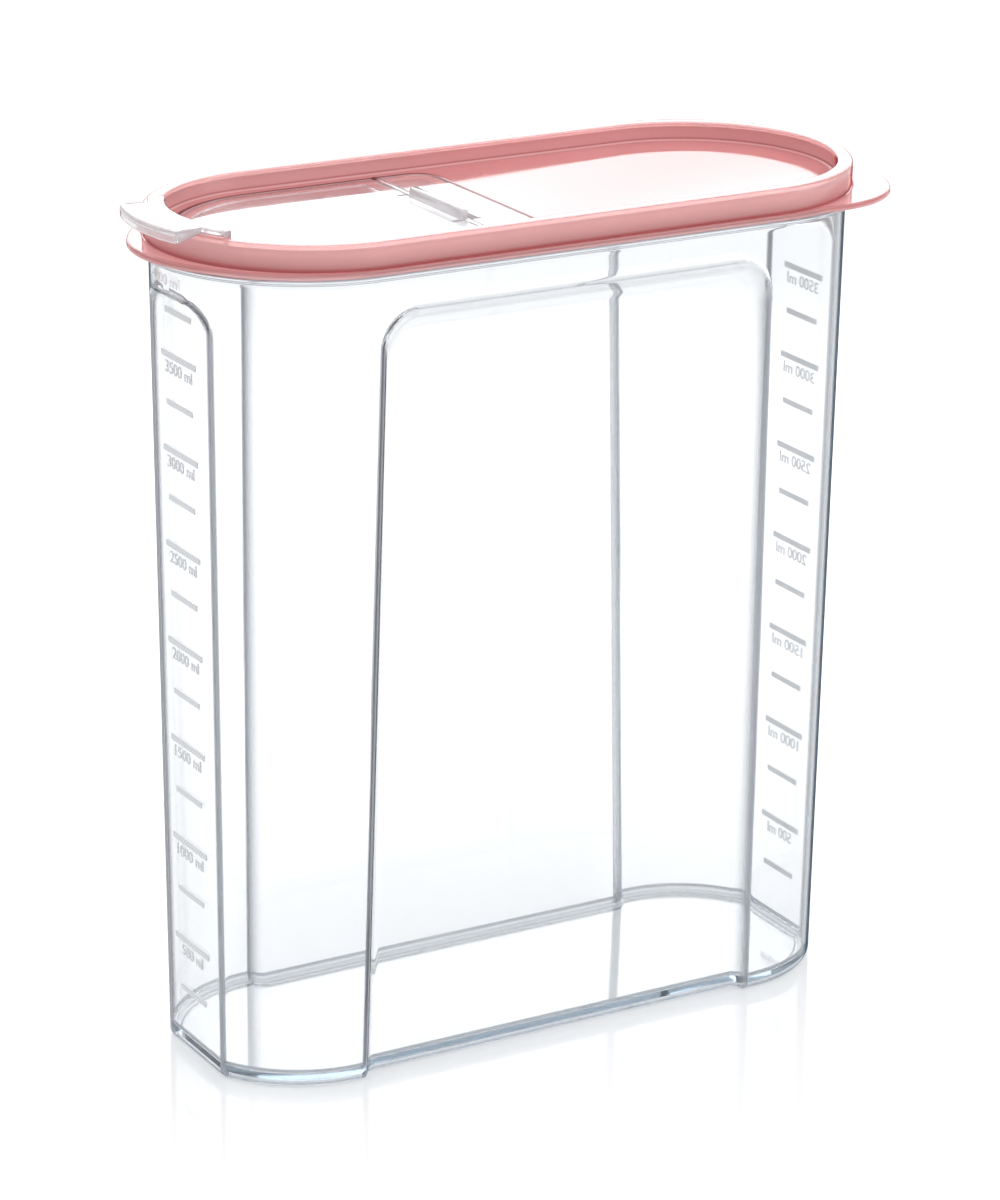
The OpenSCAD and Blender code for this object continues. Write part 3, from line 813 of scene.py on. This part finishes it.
def build_graduations():
    g = Graduations()
    levels = list(GRADUATIONS.values())
    for side in (-1, 1):
        for volume, z in GRADUATIONS.items():
            g.bar(side, LONG_BAR[side], z, LONG_HALF)
            g.figure(side, f"{volume} ml", 17.6 if volume > 999 else 14.0, 3.7, z - 1.9)
        short = [LOWEST_BAR] + [(a + c) / 2 for a, c in zip(levels, levels[1:])]
        if side < 0:
            # only the left-hand panel shows anything above the last volume
            first = len(g.faces)
            g.figure(side, "4000 ml", 17.6, 3.3, 251.2)
            faint = range(first, len(g.faces))
            short.append(HIGHEST_BAR)
        for z in short:
            g.bar(side, SHORT_BAR[side], z, SHORT_HALF)
    # the right-hand panel's faces take the paler copy, with painted light
    mats = [1 if k in faint else 2 if g.verts[f[0]][0] > 0 else 0 for k, f in enumerate(g.faces)]
    new_object("graduations", g.verts, g.faces, "container", [RELIEF, FAINT, RELIEF_PAINTED_PALE], mats, angle=30)


# ------------------------------------------------------------------ stage
def build_stage():
    mesh = bpy.data.meshes.new("floor")
    s = 12
    mesh.from_pydata([(-s, -s, 0), (s, -s, 0), (s, s, 0), (-s, s, 0)], [], [(0, 1, 2, 3)])
    floor = bpy.data.objects.new("floor", mesh)
    scene.collection.objects.link(floor)
    floor.location.z = -0.0002
    mat, nt, out, bsdf = material("pale_floor")
    tone = ramp(nt, noise(nt, 3, 3, 0.5, object_coord(nt)),
                [(0.3, (0.86, 0.865, 0.87)), (0.7, (0.875, 0.88, 0.885))])
    nt.links.new(tone, bsdf.inputs["Base Color"])
    bsdf.inputs["Roughness"].default_value = 0.1
    bsdf.inputs["Specular IOR Level"].default_value = 0.25
    nt.links.new(bsdf.outputs["BSDF"], out.inputs["Surface"])
    mesh.materials.append(mat)


def area(name, location, target, size, power):
    light = bpy.data.lights.new(name, "AREA")
    light.shape = "RECTANGLE"
    light.size, light.size_y = size
    light.energy = power
    obj = bpy.data.objects.new(name, light)
    scene.collection.objects.link(obj)
    obj.location = location
    obj.rotation_mode = "QUATERNION"
    obj.rotation_quaternion = (Vector(target) - Vector(location)).to_track_quat("-Z", "Y")
    obj.visible_camera = False


def build_lights():
    """A pale studio, brightest overhead and on the wall behind the object, and three soft panels."""
    world = bpy.data.worlds.new("studio")
    scene.world = world
    world.use_nodes = True
    nt = world.node_tree
    nt.nodes.clear()
    out = nt.nodes.new("ShaderNodeOutputWorld")
    back = nt.nodes.new("ShaderNodeBackground")
    coord = nt.nodes.new("ShaderNodeTexCoord").outputs["Generated"]
    sep = nt.nodes.new("ShaderNodeSeparateXYZ")
    nt.links.new(coord, sep.inputs[0])
    sky = ramp(nt, sep.outputs["Z"], [(0.0, (0.52, 0.54, 0.57)), (0.22, (0.62, 0.64, 0.67)),
                                      (0.5, (0.95, 0.96, 0.97)), (1.0, 1)])
    ahead = nt.nodes.new("ShaderNodeVectorMath")
    ahead.operation = "DOT_PRODUCT"
    ahead.inputs[1].default_value = (0.503, 0.864, 0.0)
    nt.links.new(coord, ahead.inputs[0])
    wall = ramp(nt, ahead.outputs["Value"], [(0.55, 0), (0.85, 1)])
    nt.links.new(mix_colours(nt, "LIGHTEN", sky, wall), back.inputs["Color"])
    back.inputs["Strength"].default_value = 0.95
    nt.links.new(back.outputs[0], out.inputs[0])
    area("back_panel", (1.35, 2.3, 1.35), (0, 0, 0.2), (3.2, 1.6), 34)
    area("overhead", (0.2, 0.3, 2.6), (0, 0, 0.1), (2.6, 2.6), 14)
    area("key_right", (2.0, -1.8, 1.5), (0, 0, 0.15), (1.6, 1.6), 12)


scene.view_settings.view_transform = "Standard"
# enough for light to cross both walls of the bin and of the cover, and to be reflected along their edges
scene.cycles.max_bounces = 20
scene.cycles.transmission_bounces = 20
scene.cycles.glossy_bounces = 16

add_camera()
build_container()
build_lid()
build_cover()
build_plate()
build_graduations()
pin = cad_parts["hinge_pin"]
pin.data.materials.clear()
pin.data.materials.append(CLEAR_COVER)
build_stage()
build_lights()
